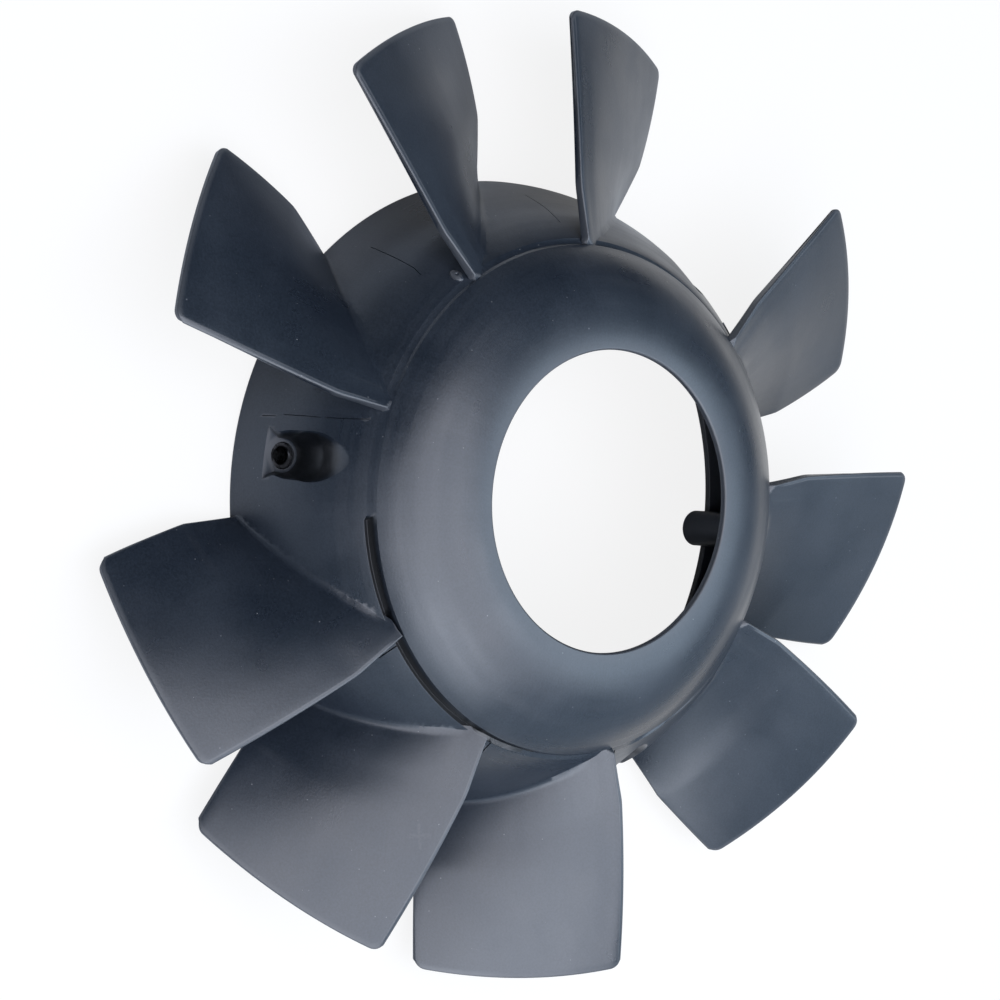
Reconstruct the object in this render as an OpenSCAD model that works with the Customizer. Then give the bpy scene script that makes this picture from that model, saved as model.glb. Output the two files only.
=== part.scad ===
// Engine cooling fan: a one-piece plastic moulding with a domed hub and nine blades,
// and three steel bushes pressed into its fixing pockets.
// The axis is Z with the dome up, and the origin is the centre of the rear rim's plane.

/* [Hub] */
// Radius of the rear rim, the widest part of the hub
rim_r = 125.8; // [115:0.1:140]
// Radius of the outer edge of the ledge, where the skirt meets the dome
ledge_r = 101; // [95:0.1:108]
// Height of the ledge above the rear rim
ledge_z = 54.4; // [48:0.1:60]
// Width of the ledge around the dome
ledge_w = 2.4; // [2:0.1:4]
// Height of the dome's edge above the ledge
step_h = 2.8; // [1:0.1:4]
// Radius of the front opening
opening_r = 58.1; // [45:0.1:70]
// Height of the front opening's lip above the rear rim
lip_z = 74.8; // [68:0.1:84]
// Thickness of the hub's wall
wall = 2.8; // [2.4:0.1:4]
// Width of the flange that turns inward at the rear rim
flange_w = 11.1; // [8:0.1:12]
// Thickness of that flange
flange_t = 3; // [2.4:0.1:5]
// Share of the skirt's taper that is an even draft, the rest being its bulge
skirt_draft = 0.25; // [0.1:0.05:0.6]

/* [Blades] */
// Radius of the blade tips
tip_r = 190.3; // [170:0.1:210]
// Angle from a pocket to the front root of each blade in a group of three
blade_angles = [38.3, 71.3, 108.2]; // [30:0.1:112]
// Height of a blade's front edge at the root
root_front_z = 57; // [52:0.1:62]
// Height of a blade's rear edge at the root
root_rear_z = 2.6; // [2:0.1:12]
// Height of a blade's front edge at the tip
tip_front_z = 45.3; // [38:0.1:54]
// Height of a blade's rear edge at the tip
tip_rear_z = 10.4; // [4:0.1:20]
// Angle that a blade spans at the root
root_sweep = 26.6; // [22:0.1:32]
// Angle that a blade spans at the tip
tip_sweep = 23.6; // [18:0.1:28]
// How far the front edge swells forward at its kink, as an angle
front_swell = 1.2; // [0:0.1:2]
// How far the rear edge swells back at its kink, as an angle
rear_swell = 1.2; // [0:0.1:2]
// Camber at the root, as a share of the blade's height
root_camber = 0.6; // [0.2:0.05:0.8]
// Camber at the tip, as a share of the blade's height
tip_camber = 0.24; // [0.05:0.01:0.5]
// Thickness of a blade at the root
root_t = 3.6; // [2.6:0.1:4.5]
// Thickness of a blade at the tip
tip_t = 2.6; // [1.8:0.1:3.5]
// Radius of the rounded corners of a blade's tip
corner_r = 4.5; // [2:0.1:8]

/* [Fixings] */
// Distance of the fixing holes' centres from the rear rim's edge
fixing_in = 11.4; // [10:0.1:13]
// Height of a pocket's floor above the rear rim
floor_z = 17; // [12:0.1:22]
// Radius of a pocket's rounded end at its floor
nose_r = 6.3; // [6:0.1:7]
// Outer radius of a bush
bush_r = 5.2; // [4.4:0.1:5.4]
// Radius of a bush's bore
bore_r = 3.3; // [2.6:0.05:3.6]
// How far a bush sits below the pocket's floor
bush_recess = 0.8; // [0.3:0.1:2]
// Radius of the round bosses that stand inside the rear flange
boss_r = 7.4; // [5:0.1:9]
// Distance of those bosses' centres from the rear rim's edge
boss_in = 15.4; // [12:0.1:18]
// Angle from a pocket to the next boss
boss_angle = 60.6; // [50:0.1:70]

/* [Hidden] */
groups = 3;
group_step = 360 / groups;
first_pocket = -90;
flange_r = rim_r - flange_w;
fixing_r = rim_r - fixing_in;
boss_at = rim_r - boss_in;
dome_r = ledge_r - ledge_w;
dome_edge_z = ledge_z + step_h;
dome_drop = lip_z - dome_edge_z;
dome_arc_r = ((dome_r - opening_r)^2 + dome_drop^2) / (2 * dome_drop);
dome_arc_end = asin((dome_r - opening_r) / dome_arc_r);
skirt_power = 2.3;
front_kink = 0.26;
rear_kink = 0.42;
edge_lift = 1.7;
pocket_draft = 0.2;
pocket_lean = 0.12;
pocket_h = 34;
pocket_wall = 2.6;
pad_wall = 2.4;
blade_lead = 0.35;
// The skirt leans, so that its wall is wider when measured along the radius
wall_across = 1.15 * wall;
hub_fn = 180;

// Radius of the skirt's outer face at height z
function skirt_r(z) =
    let (x = min(1, max(0, z / ledge_z)))
    rim_r - (rim_r - ledge_r) * (skirt_draft * x + (1 - skirt_draft) * x^skirt_power);

// A swell that rises from 0 to 1 at the kink and falls back to 0 at the end
function kinked(s, kink) = s < kink ? s / kink : (1 - s) / (1 - kink);

function mix(a, b, s) = a + (b - a) * s;

// Heights and angles of the blade's two side edges, s being 0 at the root and 1 at the tip
function front_z(s) = mix(root_front_z, tip_front_z, s) + 4 * edge_lift * s * (1 - s);
function rear_z(s) = mix(root_rear_z, tip_rear_z, s) + 4 * edge_lift * s * (1 - s);
function front_a(s) = front_swell * kinked(s, front_kink);
function rear_a(s) = -mix(root_sweep, tip_sweep, s) - rear_swell * kinked(s, rear_kink);

// Height of the blade's guide surface, u being 0 at the rear edge and 1 at the front edge
function blade_z(u, s) =
    let (camber = mix(root_camber, tip_camber, s))
    mix(rear_z(s), front_z(s), u + camber * u * (1 - u));

// The root lies in the middle of the skirt's wall
function root_r(u) = skirt_r(blade_z(u, 0)) - wall / 2;

// How far a rounded tip corner stands back from the tip circle
function corner_drop(u) =
    let (chord = tip_r * tip_sweep * PI / 180, x = min(u, 1 - u) * chord)
    x >= corner_r ? 0 : corner_r - sqrt(corner_r^2 - (corner_r - x)^2);

// A point on the guide surface
function guide_point(u, s) =
    let (
        r = mix(root_r(u), tip_r - corner_drop(u), s),
        a = mix(rear_a(s), front_a(s), u)
    )
    [r * cos(a), r * sin(a), blade_z(u, s)];

// Unit vector square to the guide surface, pointing forward
function facing(u, s) =
    let (
        e = 0.02,
        along = guide_point(min(1, u + e), s) - guide_point(max(0, u - e), s),
        out = guide_point(u, min(1, s + e)) - guide_point(u, max(0, s - e)),
        n = cross(out, along)
    )
    n / norm(n);

// Stations across the blade, close together where its corners and edges are round
corner_share = corner_r / (tip_r * tip_sweep * PI / 180);
corner_steps = [for (a = [0:30:89]) corner_share * (1 - cos(a))];
across = concat(
    corner_steps,
    [for (i = [0:8]) mix(corner_share, 1 - corner_share, i / 8)],
    [for (i = [len(corner_steps) - 1:-1:0]) 1 - corner_steps[i]]
);
outward = concat([for (k = [0:8]) mix(0, 0.94, k / 8)], [0.988, 1]);

// How far an edge's round stands in from each face at a station, as a share of the thickness
function edge_round(i, k) =
    let (in = min(i, len(across) - 1 - i, len(outward) - 1 - k))
    in == 0 ? 0.27 : in == 1 ? 0.06 : 0;

// Points of a blade's front face at depth 0 and of its rear face at depth 1, the guide
// surface lying between them
function sheet(depth) = [
    for (i = [0:len(across) - 1]) for (k = [0:len(outward) - 1])
        let (u = across[i], s = outward[k], share = mix(edge_round(i, k), 1 - edge_round(i, k), depth))
        guide_point(u, s) + (blade_lead - share) * mix(root_t, tip_t, s) * facing(u, s)
];

module blade() {
    rows = len(outward);
    cols = len(across);
    back = rows * cols;
    front_faces = [
        for (i = [0:cols - 2]) for (k = [0:rows - 2]) let (a = i * rows + k)
            each [[a, a + rows, a + 1], [a + 1, a + rows, a + rows + 1]]
    ];
    rear_faces = [for (f = front_faces) [f[2] + back, f[1] + back, f[0] + back]];
    // The outline, in order: up the rear edge, along the tip, down the front edge, along the root
    outline = concat(
        [for (k = [0:rows - 1]) k],
        [for (i = [1:cols - 1]) i * rows + rows - 1],
        [for (k = [rows - 2:-1:0]) (cols - 1) * rows + k],
        [for (i = [cols - 2:-1:1]) i * rows]
    );
    side_faces = [
        for (j = [0:len(outline) - 1])
            let (a = outline[j], b = outline[(j + 1) % len(outline)])
            each [[a, b, a + back], [b, b + back, a + back]]
    ];
    polyhedron(
        points = concat(sheet(0), sheet(1)),
        faces = concat(front_faces, rear_faces, side_faces)
    );
}

module blades() {
    for (g = [0:groups - 1]) for (a = blade_angles) rotate(g * group_step + a) blade();
}

// Outer outline of the hub from the lip down to the rim, in the plane of radius and height
function dome_points(r) = [
    for (a = [0:3:44]) [opening_r + r * sin(a), lip_z - dome_arc_r + r * cos(a)],
    [opening_r + r * sin(dome_arc_end), lip_z - dome_arc_r + r * cos(dome_arc_end)]
];
function skirt_points(inset, from, to) = [
    for (i = [0:14]) let (z = mix(from, to, i / 14)) [skirt_r(z) - inset, z]
];

module hub_section() {
    // How far corners are cut back, so that they read as slightly rounded
    soft = 0.6;
    outer = concat(
        [[opening_r, lip_z - soft], [opening_r + soft, lip_z]],
        [for (p = dome_points(dome_arc_r)) if (p[0] > opening_r + soft) p],
        [[dome_r + soft / 3, dome_edge_z - soft], [dome_r + soft / 2, ledge_z + soft]],
        [[dome_r + 1.5 * soft, ledge_z], [ledge_r - soft, ledge_z]],
        skirt_points(0, ledge_z - soft, soft),
        [[rim_r - soft, 0]]
    );
    dome_inner = dome_points(dome_arc_r - wall);
    polygon(concat(
        outer,
        [[flange_r, 0], [flange_r, flange_t]],
        skirt_points(wall_across, flange_t, ledge_z - wall),
        [for (i = [len(dome_inner) - 1:-1:0]) dome_inner[i]]
    ));
}

module hub_shell() {
    rotate_extrude($fn = hub_fn) hub_section();
}

// The space inside the middle of the hub's wall, where housings and bosses end
module hub_core() {
    rotate_extrude($fn = hub_fn)
        polygon(concat(
            [[0, 0], [0, lip_z - wall / 2]],
            dome_points(dome_arc_r - wall / 2),
            skirt_points(wall_across / 2, ledge_z - wall, 0)
        ));
}

// An outline and its mirror image across the vertical axis, as one closed outline
function mirrored(side) = concat(
    side,
    [for (i = [len(side) - 1:-1:0]) [-side[i][0], side[i][1]]]
);

// A pocket's channel: a leaning cone for its rounded end and a wedge that opens outward,
// both cut flat at the floor
module channel(grow, base) {
    top_r = nose_r + pocket_draft * pocket_h;
    mouth_r = 9.8;
    flare_h = 9;
    // The wedge starts outward of the hole's centre and a little wider, so that it crosses the
    // rounded end cleanly
    shoulder = 1.2;
    // How far the uncut form reaches below the floor
    below = 5;
    reach = 30;
    // How far the floor is wider than its rounded end, and at what distance outward of the hole
    floor_flare = [[0, 3], [2, 6], [4.7, 9], [19.7, reach]];
    intersection() {
        union() {
            translate([fixing_r, 0, floor_z]) rotate([0, atan(pocket_lean), 0])
                translate([0, 0, -below])
                    cylinder(
                        r1 = nose_r - below * pocket_draft + grow,
                        r2 = top_r + grow,
                        h = pocket_h + below,
                        $fn = 64
                    );
            translate([fixing_r + shoulder, 0, floor_z]) rotate([90, 0, 90]) linear_extrude(reach)
                polygon(mirrored([
                    [nose_r + 0.2 * shoulder + grow, -below], [nose_r + 0.2 * shoulder + grow, 0],
                    [mouth_r + grow, flare_h], [top_r + grow, pocket_h]
                ]));
            translate([fixing_r, 0, floor_z - below]) rotate(-90) linear_extrude(below + flare_h + grow)
                polygon(mirrored([for (p = floor_flare) [nose_r + p[0] + grow, p[1]]]));
        }
        translate([0, -rim_r, base]) cube([tip_r, 2 * rim_r, lip_z]);
    }
}

module pocket_housing() {
    intersection() {
        union() {
            channel(pocket_wall, floor_z - 4);
            translate([fixing_r, 0, 0]) cylinder(r = bush_r + pad_wall, h = floor_z - 1, $fn = 64);
        }
        hub_core();
    }
}

module inner_boss() {
    intersection() {
        translate([boss_at, 0, 0]) cylinder(r = boss_r, h = lip_z, $fn = 64);
        hub_core();
    }
}

module fan_wheel() {
    // How far a hole's cutter runs past both ends
    past = 1;
    color([0.17, 0.18, 0.2]) rotate(first_pocket) difference() {
        union() {
            hub_shell();
            blades();
            for (g = [0:groups - 1]) rotate(g * group_step) pocket_housing();
            for (g = [0:groups - 1]) rotate(g * group_step + boss_angle) inner_boss();
        }
        for (g = [0:groups - 1]) rotate(g * group_step) {
            channel(0, floor_z);
            translate([fixing_r, 0, -past]) cylinder(r = bush_r, h = floor_z + 2 * past, $fn = 64);
        }
    }
}

module bush(g) {
    length = floor_z - bush_recess;
    chamfer = 0.4;
    color([0.32, 0.32, 0.33])
        rotate(first_pocket + g * group_step) translate([fixing_r, 0, 0])
            rotate_extrude($fn = 64) polygon([
                [bore_r, chamfer], [bore_r + chamfer, 0], [bush_r, 0],
                [bush_r, length - chamfer], [bush_r - chamfer, length],
                [bore_r + chamfer, length], [bore_r, length - chamfer]
            ]);
}

fan_wheel();
bush(0);  // bush_1
bush(1);  // bush_2
bush(2);  // bush_3
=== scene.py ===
# %% [markdown]
# A moulded engine cooling fan, built as a lesson.
# The real fan is one plastic moulding: a domed hub, nine blades and three pockets, each with a
# steel bush pressed in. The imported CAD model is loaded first. It fixes where everything is, in
# metres, with the axis on Z, the dome up and one pocket on -Y.

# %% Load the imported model
import math
import bmesh
import bpy
import numpy as np
from mathutils import Matrix, Vector


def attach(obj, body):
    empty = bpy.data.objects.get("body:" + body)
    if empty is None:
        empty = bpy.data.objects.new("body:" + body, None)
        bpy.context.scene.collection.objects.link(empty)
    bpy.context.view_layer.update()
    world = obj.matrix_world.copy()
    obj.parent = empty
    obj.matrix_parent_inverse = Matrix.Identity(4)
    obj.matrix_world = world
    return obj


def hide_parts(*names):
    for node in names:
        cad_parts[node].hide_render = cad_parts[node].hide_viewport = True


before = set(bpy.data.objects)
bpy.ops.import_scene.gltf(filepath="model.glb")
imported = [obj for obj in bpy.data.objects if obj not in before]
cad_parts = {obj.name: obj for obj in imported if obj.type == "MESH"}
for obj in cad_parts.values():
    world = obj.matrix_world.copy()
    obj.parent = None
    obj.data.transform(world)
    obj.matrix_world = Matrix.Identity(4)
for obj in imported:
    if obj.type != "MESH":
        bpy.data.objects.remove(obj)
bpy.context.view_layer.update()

MM = 0.001

# %% [markdown]
# The camera comes next, because every later choice is judged through it. Its place was found by
# fitting the edges of the hub and the blades to the photograph: a long lens, looking down on the
# dome from the side where the pocket is, and rolled so that the dome faces right. The fit also
# asked for a small shift of the lens, as if the photograph were a crop of a larger one.

# %% Place the camera
SENSOR = 36.0
FRAME_PX = 1000
FOCAL_PX = 2997.3
CENTRE_PX = (519.6, 539.3)
CAMERA_AT = (0.06992, -0.73953, 0.94983)
CAMERA_TURN = (-3.22217, -38.48048, 99.27323)

view = bpy.data.cameras.new("view")
view.sensor_width = SENSOR
view.lens = SENSOR * FOCAL_PX / FRAME_PX
view.shift_x = (FRAME_PX / 2 - CENTRE_PX[0]) / FRAME_PX
view.shift_y = (CENTRE_PX[1] - FRAME_PX / 2) / FRAME_PX
camera = bpy.data.objects.new("camera", view)
camera.location = CAMERA_AT
camera.rotation_euler = [math.radians(a) for a in CAMERA_TURN]
bpy.context.scene.collection.objects.link(camera)
bpy.context.scene.camera = camera
print("lens", round(view.lens, 1), "mm, shift", round(view.shift_x, 4), round(view.shift_y, 4))

# %% [markdown]
# Every shape here is a mesh built from points in millimetres and a list of faces. Three helpers
# do that work. One makes the mesh, one welds points that lie on each other and turns the faces
# outward, and one joins or cuts two closed meshes. The last uses the manifold boolean, because
# it is quick and keeps the result closed.

# %% Helpers for meshes
def reshaped(piece, weld=0.0, slivers=0.0):
    """Weld points closer than weld, take out faces thinner than slivers, both in mm, and turn
    the faces outward."""
    shape = bmesh.new()
    shape.from_mesh(piece.data)
    if weld:
        bmesh.ops.remove_doubles(shape, verts=shape.verts, dist=weld * MM)
    if slivers:
        bmesh.ops.dissolve_degenerate(shape, edges=shape.edges, dist=slivers * MM)
    bmesh.ops.recalc_face_normals(shape, faces=shape.faces)
    shape.to_mesh(piece.data)
    shape.free()
    return piece


def solid(name, points, faces):
    """A new object made from points in mm and faces."""
    mesh = bpy.data.meshes.new(name)
    mesh.from_pydata([tuple(p) for p in np.asarray(points, float) * MM], [], faces)
    piece = bpy.data.objects.new(name, mesh)
    bpy.context.scene.collection.objects.link(piece)
    return reshaped(piece)


def combine(piece, other, how):
    """Join or cut a piece with another one, which is used up."""
    step = piece.modifiers.new(how, "BOOLEAN")
    step.operation = how
    step.solver = "MANIFOLD"
    step.object = other
    graph = bpy.context.evaluated_depsgraph_get()
    mesh = bpy.data.meshes.new_from_object(piece.evaluated_get(graph))
    piece.modifiers.clear()
    piece.data = mesh
    bpy.data.objects.remove(other)
    return piece


print("helpers for meshes: reshaped, solid and combine")

# %% [markdown]
# The hub is a turned shape: a bulged skirt, a ledge, a short step and a dome with a round
# opening. A spline could draw it, but two formulas follow the photograph as well and are easier
# to change: the skirt is a straight draft mixed with a power curve, and the dome is a part of a
# circle that ends at the opening.

# %% The hub's sizes and its two curves
RIM_R, LEDGE_R, LEDGE_Z = 125.8, 101.0, 54.4
DOME_R, DOME_EDGE_Z = 98.6, 57.2
OPENING_R, LIP_Z = 58.1, 74.8
WALL, FLANGE_R, FLANGE_T = 2.8, 114.7, 3.0
LEVEL_SHARE = 1.15
WALL_ACROSS = LEVEL_SHARE * WALL
SKIRT_DRAFT, SKIRT_POWER = 0.25, 2.3
DOME_DROP = LIP_Z - DOME_EDGE_Z
DOME_ARC_R = ((DOME_R - OPENING_R) ** 2 + DOME_DROP ** 2) / (2 * DOME_DROP)


def skirt_r(z):
    x = np.clip(np.asarray(z, float) / LEDGE_Z, 0, 1)
    return RIM_R - (RIM_R - LEDGE_R) * (SKIRT_DRAFT * x + (1 - SKIRT_DRAFT) * x ** SKIRT_POWER)


def skirt_line(inset, start, stop, count):
    """Points (r, z) on the skirt between two heights, an inset inside its skin."""
    return [(float(skirt_r(z)) - inset, float(z)) for z in np.linspace(start, stop, count)]


def dome_arc(depth, count):
    """Points (r, z) on the dome from the opening outward, a depth below its skin."""
    end = math.asin((DOME_R - OPENING_R) / DOME_ARC_R)
    radius = DOME_ARC_R - depth
    return [(OPENING_R + radius * math.sin(t), LIP_Z - DOME_ARC_R + radius * math.cos(t))
            for t in np.linspace(0, end, count)]


print("skirt radius at 0, 27 and 54 mm:", [round(float(skirt_r(z)), 1) for z in (0, 27, 54)])
print("the dome's curve has a radius of", round(DOME_ARC_R, 1), "mm")

# %% [markdown]
# A real mould leaves every corner slightly round, and those rounds are what catch the light. So
# the outline's corners are rounded while it is still a flat drawing, where that is a matter of
# two tangent points, and then it is turned round the axis.

# %% Round an outline and turn it
def rounded(corners, steps=5):
    """Points of a closed outline given as (r, z, radius); radius 0 keeps a corner as it is."""
    out = []
    for i, (r, z, radius) in enumerate(corners):
        here = Vector((r, z))
        if not radius:
            out.append(here)
            continue
        to_last = (Vector(corners[i - 1][:2]) - here).normalized()
        to_next = (Vector(corners[(i + 1) % len(corners)][:2]) - here).normalized()
        half = to_last.angle(to_next) / 2
        start = here + to_last * radius / math.tan(half)
        stop = here + to_next * radius / math.tan(half)
        centre = here + (to_last + to_next).normalized() * radius / math.sin(half)
        for k in range(steps + 1):
            way = (start - centre).lerp(stop - centre, k / steps)
            out.append(centre + way.normalized() * radius)
    return out


def turned(name, outline, count=360, at=0.0, closed=True):
    """Turn an outline round an upright axis at x = at. The outline is a list of (r, z), or a
    function that gives that list for an angle in degrees."""
    outline_at = outline if callable(outline) else (lambda angle: outline)
    rows = len(outline_at(0))
    points, faces = [], []
    for i, a in enumerate(np.arange(count) * 2 * math.pi / count):
        points += [(at + r * math.cos(a), r * math.sin(a), z)
                   for r, z in outline_at(math.degrees(a))]
        here, there = i * rows, (i + 1) % count * rows
        faces += [(here + k, there + k, there + (k + 1) % rows, here + (k + 1) % rows)
                  for k in range(rows if closed else rows - 1)]
    return solid(name, points, faces)


trial = rounded([(0, 0, 0), (9, 0, 0), (9, 9, 1)])
print("one rounded corner is drawn with", len(trial) - 2, "points")

# %% [markdown]
# The ledge between skirt and dome isn't the same all round. It is a sharp groove on the near side,
# where the photograph shows a black band. At the first pocket and at the bottom it is filled, so
# that the dome runs on into the skirt. It is a flat ledge with a soft crest on the far side. So
# the outline is a function of the angle, and short tables say how full and how deep the ledge is.

# %% The ledge by angle, and the skirt's two soft marks
LEDGE_FILL = ((0, 1), (22, 1), (36, 0), (165, 0), (188, 0.5), (205, 0.7), (252, 0.85), (257, 1),
              (281, 1), (282, 0), (338, 0), (357, 1), (360, 1))
GROOVE_DEPTH = ((0, 0), (281, 0), (282, 1), (325, 1), (340, 0.8), (356, 0), (360, 0))
GROOVE_WIDER = ((0, 0), (281, 0), (282, 0.6), (300, 0.4), (325, 0.1), (345, 0), (360, 0))
CREST_ROUND = ((0, 0), (30, 0), (50, 1), (165, 1), (190, 0), (360, 0))
CREASE_DEPTH = ((0, 0.9), (20, 0.7), (36, 0), (343, 0), (348, 0.9), (360, 0.9))
SKIRT_MARKS = ((279.3, 40.0, 1.7, 3.6, 0.30), (277.2, 41.0, 0.9, 7.0, -0.22))


def by_angle(table, angle):
    return float(np.interp(angle % 360, [row[0] for row in table], [row[1] for row in table]))


def skirt_mark(angle, z):
    """How far in mm the skirt stands out: each mark is a soft bump of a size and height."""
    return sum(high * math.exp(-((angle - at) / wide) ** 2 - ((z - up) / tall) ** 2)
               for at, up, wide, tall, high in SKIRT_MARKS)


print("groove depth, as a share, at 270, 300 and 350 degrees:",
      [round(by_angle(GROOVE_DEPTH, a), 2) for a in (270, 300, 350)])

# %% [markdown]
# The ledge itself is drawn from four corners: the dome's edge, the foot of the step, the crest
# and the point where the skirt begins. Where the ledge is filled the foot rises, where it is a
# groove the floor sinks, and on the far side the crest is lower and rounder. Because the corners
# only move, every slice has the same number of points and the slices join without a twist.

# %% Draw the ledge at one angle
LIP_ROUND, DOME_EDGE_ROUND, GROOVE_SHARPER = 0.9, 0.9, 0.45
FLUSH_Z, GROOVE_Z, GROOVE_LEAN = 54.1, 51.7, 0.6
FOOT_OUT, FOOT_OUT_FILLED, FOOT_ROUND, FILLED_STEP = 0.15, 0.5, 0.15, 0.75
FLOOR_IN, FLOOR_RISE = 0.1, 0.25
CREST_OUT, CREST_BACK, CREST_FALL, CREST_EDGE_ROUND = 0.12, 0.5, 1.13, 0.08
CREST_LOW, SOFT_CREST_LOW = 0.03, (0.16, 0.2)
SHOULDER_OUT, SHOULDER_LOW, SHOULDER_SOFT, SHOULDER_BEND = 0.15, 0.16, 0.06, (0.4, 0.12)
SHOULDER_AT = (0.05, 0.35, 0.65)
SKIRT_TOP = (102.6, 52.6)


def dome_side(depth):
    """The dome's outside, from the opening's lip to its lower edge, as (r, z, radius). The points
    next to the two rounded corners are left out, to make room for the rounds."""
    arc = [(*p, 0) for p in dome_arc(0, 26)]
    edge = (DOME_R, DOME_EDGE_Z, DOME_EDGE_ROUND - GROOVE_SHARPER * depth)
    return [(OPENING_R, LIP_Z, LIP_ROUND)] + arc[3:-2] + [edge]


def crest_height(r, soft):
    if soft:
        return LEDGE_Z - SOFT_CREST_LOW[0] - SOFT_CREST_LOW[1] * soft
    return LEDGE_Z - CREST_FALL * (r - LEDGE_R) - CREST_LOW


def ledge_side(angle, fill, depth, soft):
    """The step's foot, the ledge's floor, its crest and the shoulder above the skirt."""
    crest_r = LEDGE_R + CREST_OUT - CREST_BACK * soft + by_angle(GROOVE_WIDER, angle)
    crest_z = crest_height(crest_r, soft)
    floor_z = FLUSH_Z + (GROOVE_Z - FLUSH_Z) * depth
    foot_z = floor_z + (DOME_EDGE_Z - FILLED_STEP - floor_z) * fill
    foot_z = foot_z - by_angle(CREASE_DEPTH, angle) - GROOVE_LEAN * depth
    skirt = Vector(SKIRT_TOP)
    top = Vector((crest_r + SHOULDER_OUT, crest_z - SHOULDER_LOW + SHOULDER_SOFT * soft))
    bend = top.lerp(skirt, SHOULDER_BEND[0]) + Vector((0, SHOULDER_BEND[1] * soft))
    return [
        (DOME_R + FOOT_OUT + FOOT_OUT_FILLED * fill, foot_z, FOOT_ROUND),
        (crest_r - FLOOR_IN, floor_z + FLOOR_RISE * fill, 0),
        (crest_r, crest_z, CREST_EDGE_ROUND),
        *((*top.lerp(bend, t).lerp(bend.lerp(skirt, t), t), 0) for t in SHOULDER_AT),
    ]


print("the groove's floor is at", GROOVE_Z, "mm, the plain ledge's at", FLUSH_Z, "mm")

# %% [markdown]
# The inside of the hub is hidden but for a dark strip, so it follows the outside at an even wall.
# Only under the ledge is the corner filled, because the groove would otherwise leave no wall
# there. Outside and inside together are one closed outline, and turning it gives the shell.

# %% Turn the hub's shell
RIM_ROUND, FLANGE_ROUND, INNER_LIP_ROUND, UNDER_LEDGE_ROUND = 0.6, 0.5, 0.7, 0.4
INNER_SKIRT_TOP, UNDER_LEDGE = 48.5, (97.4, 50.3)
SKIRT_FOOT = 1.6


def inner_side():
    """The inside from the flange up to the opening, as (r, z, radius)."""
    return [
        (FLANGE_R, 0, FLANGE_ROUND), (FLANGE_R, FLANGE_T, FLANGE_ROUND),
        *((*p, 0) for p in skirt_line(WALL_ACROSS, FLANGE_T, INNER_SKIRT_TOP, 12)),
        (*UNDER_LEDGE, UNDER_LEDGE_ROUND),
        *((*p, 0) for p in dome_arc(WALL, 12)[:1:-1]),
        (OPENING_R, LIP_Z - WALL, INNER_LIP_ROUND),
    ]


def hub_outline(angle):
    fill, depth, soft = (by_angle(t, angle) for t in (LEDGE_FILL, GROOVE_DEPTH, CREST_ROUND))
    outer = dome_side(depth) + ledge_side(angle, fill, depth, soft)
    outer += [(r + skirt_mark(angle, z), z, 0)
              for r, z in skirt_line(0, SKIRT_TOP[1], SKIRT_FOOT, 28)]
    return rounded(outer + [(RIM_R, 0, RIM_ROUND)] + inner_side())


hub = turned("fan_wheel_moulding", hub_outline)
print("hub shell:", len(hub.data.polygons), "faces")

# %% [markdown]
# Nine blades stand round the skirt in three like groups of three, and within a group they are
# unevenly spaced, as in many fans that are meant to hum less. Each one is a cambered sheet between
# a front edge and a rear edge that both swing out to a soft kink. A sheet is easiest as a grid of
# points on a guide surface, and the two faces are then set off to either side of it.

# %% The blade's guide surface
TIP_R, TIP_CORNER = 190.1, 4.5
FRONT_Z, REAR_Z, EDGE_LIFT = (57.0, 45.3), (2.6, 10.4), 1.7
SWEEP = (26.6, 23.6)
FRONT_SWELL, FRONT_KINK = 1.2, 0.26
REAR_SWELL, REAR_KINK = 1.2, 0.42
KINK_SOFT = 0.0006
CAMBER = (0.6, 0.24)
ROOT_SINK, GAP_OVER = 1.3, 1.2


def mix(pair, s):
    return pair[0] + (pair[1] - pair[0]) * s


def kinked(s, kink):
    """A swell with its top at the kink, eased so that it bends and doesn't crease."""
    sharp = np.where(s < kink, s / kink, (1 - s) / (1 - kink))
    soft = 1 - np.sqrt((1 - sharp) ** 2 + KINK_SOFT)
    return np.clip(soft, 0, 1)


def guide_z(u, s):
    lift = 4 * EDGE_LIFT * s * (1 - s)
    rear, front = mix(REAR_Z, s) + lift, mix(FRONT_Z, s) + lift
    return rear + (front - rear) * (u + mix(CAMBER, s) * u * (1 - u))


def guide(u, s, gap=None):
    """Points in mm of a blade whose front root is at angle 0; u runs rear to front, s outward.
    A gap is the radius at which the root stops short of the dome, above the ledge."""
    edge = np.minimum(u, 1 - u) * TIP_R * math.radians(SWEEP[1])
    short = TIP_CORNER - np.minimum(edge, TIP_CORNER)
    back = TIP_CORNER - np.sqrt(np.clip(TIP_CORNER ** 2 - short ** 2, 0, None))
    z = guide_z(u, 0 * s)
    above = np.clip(z - LEDGE_Z + 1, 0, 1)
    root = skirt_r(z) - 0.5 * WALL - above * ROOT_SINK
    if gap:
        share = np.clip((z - SKIRT_TOP[1]) / GAP_OVER, 0, 1)
        root = root + (np.maximum(root, gap) - root) * share
    r = root + (TIP_R - back - root) * s
    front = FRONT_SWELL * kinked(s, FRONT_KINK)
    rear = -mix(SWEEP, s) - REAR_SWELL * kinked(s, REAR_KINK)
    a = np.radians(rear + (front - rear) * u)
    return np.stack([r * np.cos(a), r * np.sin(a), guide_z(u, s)], -1)


print("middle of a blade's tip, in mm:", guide(np.array(0.5), np.array(1.0)).round(1))

# %% [markdown]
# A blade's edge is a flat band with small rounded corners, about 3 mm wide, and in the photograph
# it shows as two light lines with a darker middle. At the root, the faces flare into the skirt
# with a fillet, as plastic needs there to fill and to carry load. The front edge also has a shallow
# chamfer, which shows as a lighter band. All of them come from one rule: how far each point stands
# off the guide surface depends on its distance from the edges and from the skirt.
# The fillet ends short of the ledge, where the blade's front corner slopes down to the dome.

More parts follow.
